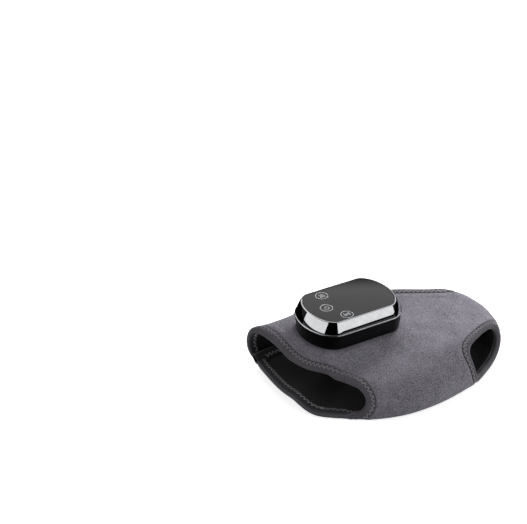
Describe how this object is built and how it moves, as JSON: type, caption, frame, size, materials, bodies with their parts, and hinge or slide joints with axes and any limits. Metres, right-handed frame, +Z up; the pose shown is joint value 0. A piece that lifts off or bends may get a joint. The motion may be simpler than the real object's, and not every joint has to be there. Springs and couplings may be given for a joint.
{
  "type": "heated ankle massager",
  "caption": "Wrap-on fabric ankle sleeve lying on its side, with foot, leg and heel openings, a folded closure flap and a detachable oval touch controller in a dock.",
  "frame": {"origin": "under the middle of the bounding box, on the table that the sleeve lies on", "axes": "+X along the controller's length, away from the foot opening; +Y towards the leg opening and the front fold; +Z up, out of the controller's touch panel"},
  "size_m": [0.2208, 0.1688, 0.0762],
  "materials": {
    "grey_suede": "napped suede",
    "black_knit": "brushed knit",
    "dark_binding": "smooth folded tape",
    "hook_tape": "hook tape",
    "amber_film": "laminated film",
    "black_lead": "satin",
    "sensor_bead": "potted bead",
    "smoked_glass": "polished",
    "chrome_plating": "mirror",
    "black_moulding": "satin gloss",
    "white_moulding": "moulded",
    "circuit_board": "solder mask",
    "chip_package": "moulded",
    "battery_pouch": "foil",
    "bright_steel": "machined",
    "nickel_plating": "plated",
    "gold_plating": "plated",
    "tungsten_weight": "sintered",
    "conductive_foam": "foam",
    "display_face": "film"
  },
  "bodies": {
    "wrap": {"outer_shell": "grey_suede", "lining": "black_knit", "heating_film": "amber_film", "temperature_sensor": "sensor_bead", "heater_lead": "black_lead", "foot_binding": "dark_binding", "leg_binding": "dark_binding", "inner_end_binding": "dark_binding", "heel_binding": "dark_binding", "dock_tray": "black_moulding", "dock_backplate": "bright_steel", "dock_rivet_1": "bright_steel", "dock_rivet_2": "bright_steel", "dock_rivet_3": "bright_steel", "dock_rivet_4": "bright_steel", "contact_board": "circuit_board", "contact_pad_1": "gold_plating", "contact_pad_2": "gold_plating", "contact_pad_3": "gold_plating", "contact_pad_4": "gold_plating", "dock_magnet_1": "nickel_plating", "dock_magnet_2": "nickel_plating"},
    "closure_flap": {"flap_shell": "grey_suede", "flap_lining": "black_knit", "flap_binding": "dark_binding", "hook_strip": "hook_tape"},
    "controller": {"touch_panel": "smoked_glass", "chrome_bezel": "chrome_plating", "lower_housing": "black_moulding", "usb_c_port": "nickel_plating", "main_board": "circuit_board", "carrier_frame": "white_moulding", "housing_screw_1": "bright_steel", "housing_screw_2": "bright_steel", "housing_screw_3": "bright_steel", "housing_screw_4": "bright_steel", "key_board": "circuit_board", "heat_key_pad": "conductive_foam", "power_key_pad": "conductive_foam", "vibration_key_pad": "conductive_foam", "digit_display": "display_face", "control_chip": "chip_package", "battery_cell": "battery_pouch", "motor_can": "bright_steel", "motor_clamp": "bright_steel", "contact_pin_1": "gold_plating", "contact_pin_2": "gold_plating", "contact_pin_3": "gold_plating", "contact_pin_4": "gold_plating", "controller_magnet_1": "nickel_plating", "controller_magnet_2": "nickel_plating"},
    "motor_rotor": {"motor_shaft": "bright_steel", "motor_weight": "tungsten_weight"}
  },
  "joints": [
    {"name": "controller_lift", "type": "slide", "parent": "wrap", "child": "controller", "axis": [0, 0, 1], "range_m": [0, 0.04]},
    {"name": "motor_spin", "type": "hinge", "parent": "controller", "child": "motor_rotor", "pos_m": [-0.00507, 0.01396, 0.0577], "axis": [0, 1, 0], "continuous": true},
    {"name": "closure_fold", "type": "hinge", "parent": "wrap", "child": "closure_flap", "pos_m": [-0.056, 0.05405, 0], "axis": [0.9241, 0.3821, 0], "range_deg": [0, 110]}
  ]
}
